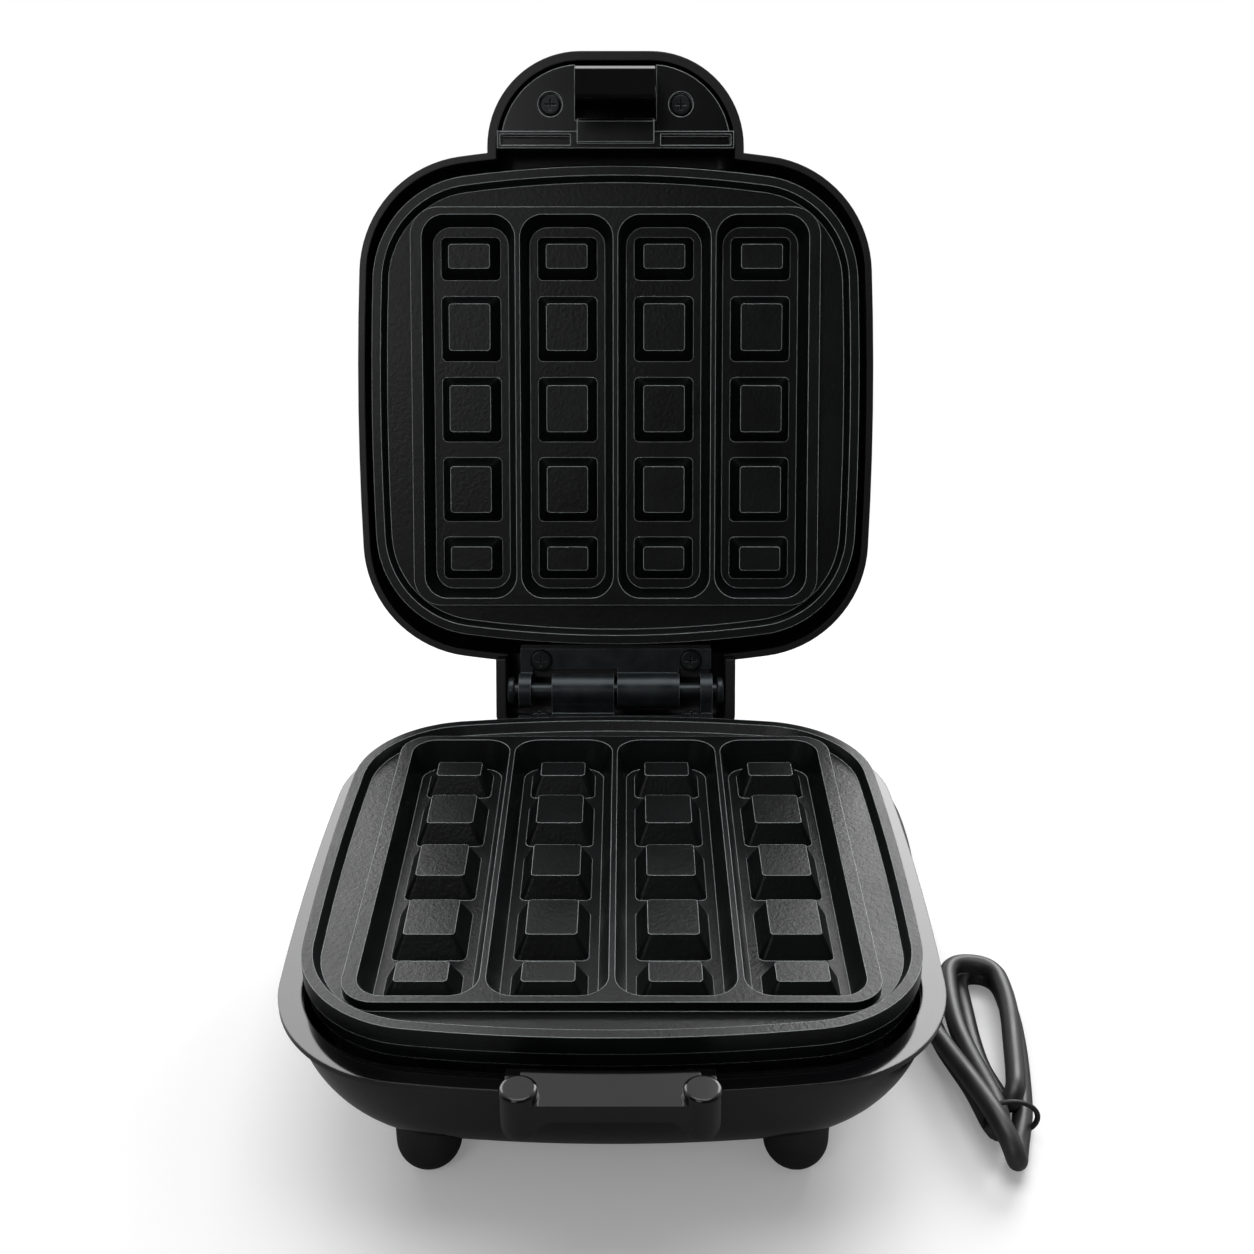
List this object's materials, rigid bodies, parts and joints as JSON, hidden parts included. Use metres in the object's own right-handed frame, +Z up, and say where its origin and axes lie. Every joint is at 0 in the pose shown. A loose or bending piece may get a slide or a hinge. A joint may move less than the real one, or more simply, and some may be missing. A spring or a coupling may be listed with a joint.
{
  "type": "waffle maker",
  "caption": "Compact clamshell waffle maker with stick-shaped cavities, domed hinged lid, hooked front latch, rubber feet and a folded mains cord.",
  "frame": {"origin": "on the surface under the feet, below the middle of the object with its lid open, cord left out", "axes": "+X to the user's right, -Y towards the user and the front latch, +Z up"},
  "size_m": [0.1821, 0.2493, 0.2231],
  "materials": {
    "gloss_black_abs": "high-gloss moulded",
    "matte_black_lid": "fine matte moulded",
    "satin_black_insert": "satin moulded",
    "nonstick_casting": "black non-stick coating on a casting",
    "black_hinge_metal": "black coated die casting",
    "black_screw": "black oxide",
    "zinc_screw": "zinc plated",
    "heater_steel": "steel sheath",
    "bright_tray": "bright sheet",
    "brown_phenolic": "moulded phenolic",
    "white_ceramic": "glazed ceramic",
    "wire_insulation": "braided sleeve",
    "cord_pvc": "satin PVC",
    "tie_rubber": "matte rubber",
    "foot_rubber": "matte rubber",
    "plug_metal": "nickel plated",
    "clear_lens": "translucent lens",
    "lamp_glass": "neon lamp"
  },
  "bodies": {
    "base": {"base_shell": "gloss_black_abs", "lower_plate": "nonstick_casting", "lower_heater": "heater_steel", "lower_reflector": "bright_tray", "base_screws": "zinc_screw", "thermostat": "brown_phenolic", "thermal_fuse": "heater_steel", "terminal_block": "white_ceramic", "internal_wires": "wire_insulation", "strain_relief": "cord_pvc", "lower_hinge_leaf": "black_hinge_metal", "lower_hinge_screws": "black_screw", "hinge_pin": "black_hinge_metal", "hinge_pin_cap": "black_hinge_metal", "cord_lead": "cord_pvc", "cord_hank": "cord_pvc", "cord_tie": "tie_rubber", "cord_tail": "cord_pvc", "plug_body": "cord_pvc", "plug_blades": "plug_metal", "foot_front_left": "foot_rubber", "foot_front_right": "foot_rubber", "foot_rear_left": "foot_rubber", "foot_rear_right": "foot_rubber"},
    "lid": {"lid_shell": "matte_black_lid", "upper_plate": "nonstick_casting", "upper_heater": "heater_steel", "upper_reflector": "bright_tray", "upper_plate_studs": "zinc_screw", "upper_hinge_leaf": "black_hinge_metal", "upper_hinge_screws": "black_screw", "handle_insert": "satin_black_insert", "handle_screws": "black_screw", "latch_pin": "zinc_screw", "indicator_lens": "clear_lens", "indicator_lamp": "lamp_glass"},
    "latch": {"latch": "gloss_black_abs"}
  },
  "joints": [
    {"name": "lid_hinge", "type": "hinge", "parent": "base", "child": "lid", "pos_m": [0, 0.04121, 0.05349], "axis": [1, 0, 0], "range_deg": [0, 110.46]},
    {"name": "latch_pivot", "type": "hinge", "parent": "lid", "child": "latch", "pos_m": [0, 0.11417, 0.21183], "axis": [1, 0, 0], "range_deg": [0, 6.5]}
  ]
}
